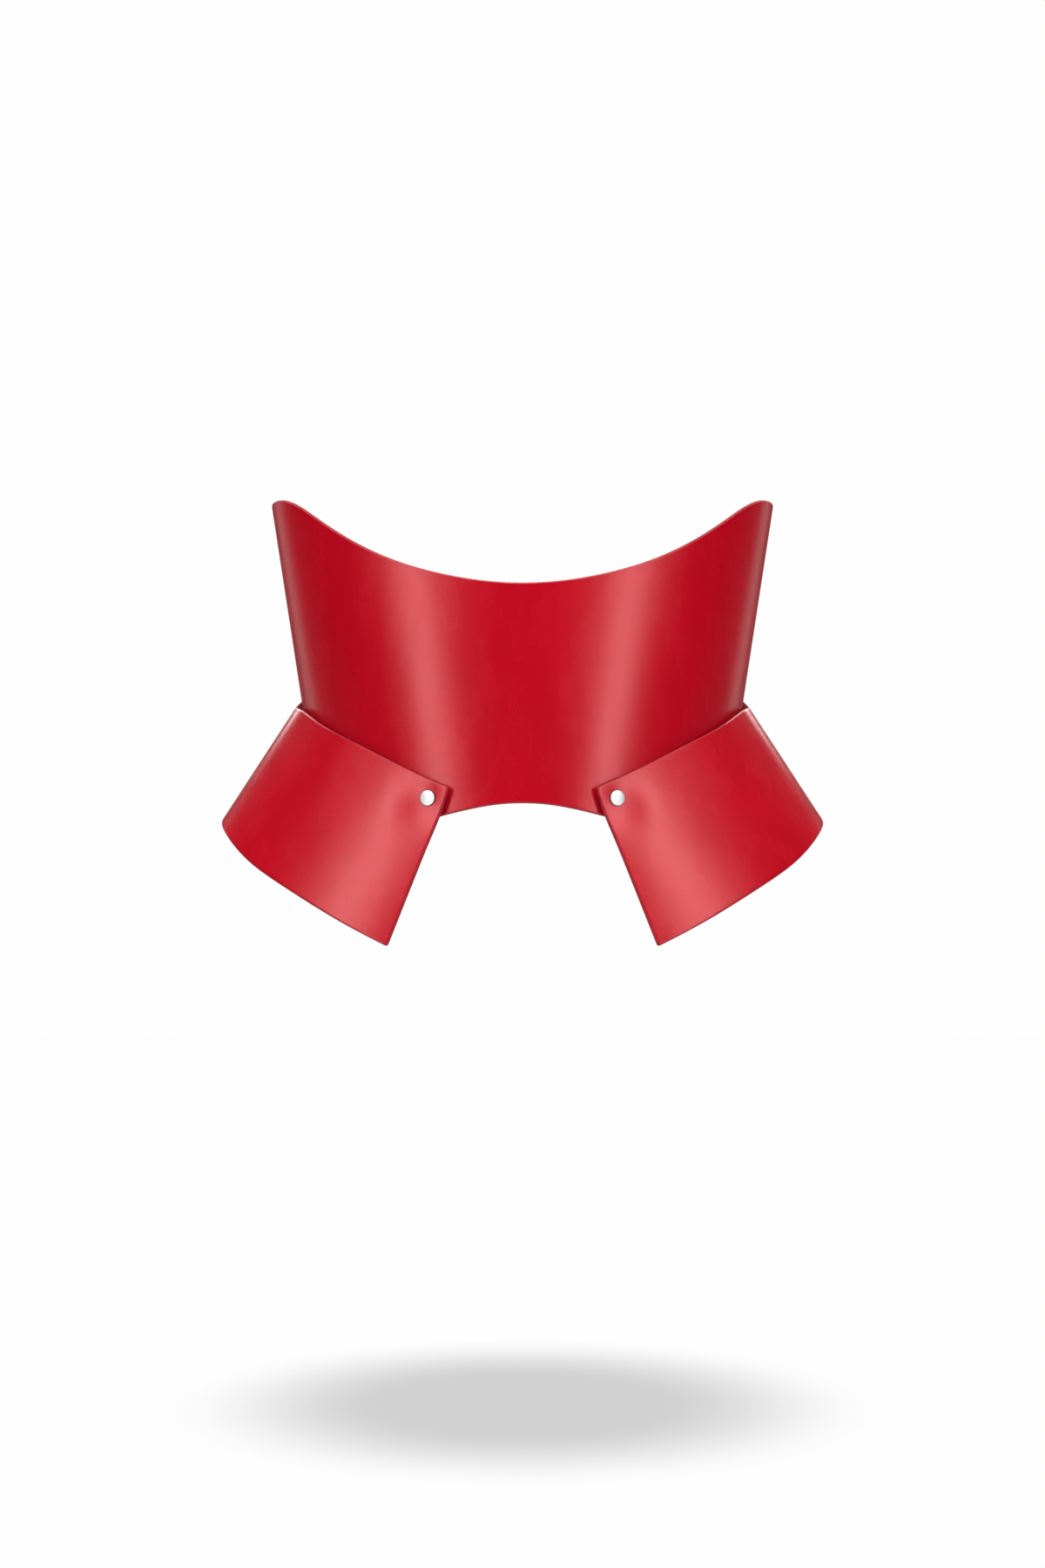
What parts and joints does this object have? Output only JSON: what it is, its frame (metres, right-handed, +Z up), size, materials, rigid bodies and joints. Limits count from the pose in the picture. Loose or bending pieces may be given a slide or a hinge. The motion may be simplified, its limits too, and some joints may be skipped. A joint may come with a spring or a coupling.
{
  "type": "leather waist belt",
  "caption": "Wide shaped waist belt of stiff red leather with flared hip flaps held by screw posts, and roller buckles across the back.",
  "frame": {"origin": "centre of the waist ellipse at the height of the hips' flap edge", "axes": "+Z up the wearer's body, the front of the belt faces -Y, +X is the wearer's left"},
  "size_m": [0.3478, 0.2211, 0.2493],
  "materials": {
    "red_leather": "satin",
    "strap_leather": "satin",
    "post_steel": "polished",
    "buckle_steel": "polished",
    "rivet_steel": "polished"
  },
  "bodies": {
    "belt": {"bodice": "red_leather", "left_flap": "red_leather", "left_front_post": "post_steel", "left_front_screw": "post_steel", "left_rear_post": "post_steel", "left_rear_screw": "post_steel", "lower_buckle_frame": "buckle_steel", "lower_chape": "strap_leather", "lower_chape_rivet_caps": "rivet_steel", "lower_chape_rivets": "rivet_steel", "lower_keeper": "strap_leather", "lower_strap": "strap_leather", "lower_strap_rivet_caps": "rivet_steel", "lower_strap_rivets": "rivet_steel", "right_flap": "red_leather", "right_front_post": "post_steel", "right_front_screw": "post_steel", "right_rear_post": "post_steel", "right_rear_screw": "post_steel", "upper_buckle_frame": "buckle_steel", "upper_chape": "strap_leather", "upper_chape_rivet_caps": "rivet_steel", "upper_chape_rivets": "rivet_steel", "upper_keeper": "strap_leather", "upper_strap": "strap_leather", "upper_strap_rivet_caps": "rivet_steel", "upper_strap_rivets": "rivet_steel"},
    "upper_prong": {"upper_buckle_prong": "buckle_steel"},
    "upper_roller": {"upper_buckle_roller": "buckle_steel"},
    "lower_prong": {"lower_buckle_prong": "buckle_steel"},
    "lower_roller": {"lower_buckle_roller": "buckle_steel"}
  },
  "joints": [
    {"name": "upper_prong_hinge", "type": "hinge", "parent": "belt", "child": "upper_prong", "pos_m": [-0.0244, 0.09469, 0.04416], "axis": [-0.0015, -0.0765, 0.9971], "range_deg": [0, 12]},
    {"name": "upper_roller_spin", "type": "hinge", "parent": "belt", "child": "upper_roller", "pos_m": [-0.00413, 0.09862, 0.04449], "axis": [-0.0015, -0.0765, 0.9971], "continuous": true},
    {"name": "lower_prong_hinge", "type": "hinge", "parent": "belt", "child": "lower_prong", "pos_m": [-0.02444, 0.09753, 0.00614], "axis": [-0.0017, -0.0762, 0.9971], "range_deg": [0, 12]},
    {"name": "lower_roller_spin", "type": "hinge", "parent": "belt", "child": "lower_roller", "pos_m": [-0.00415, 0.10165, 0.00649], "axis": [-0.0017, -0.0762, 0.9971], "continuous": true}
  ]
}
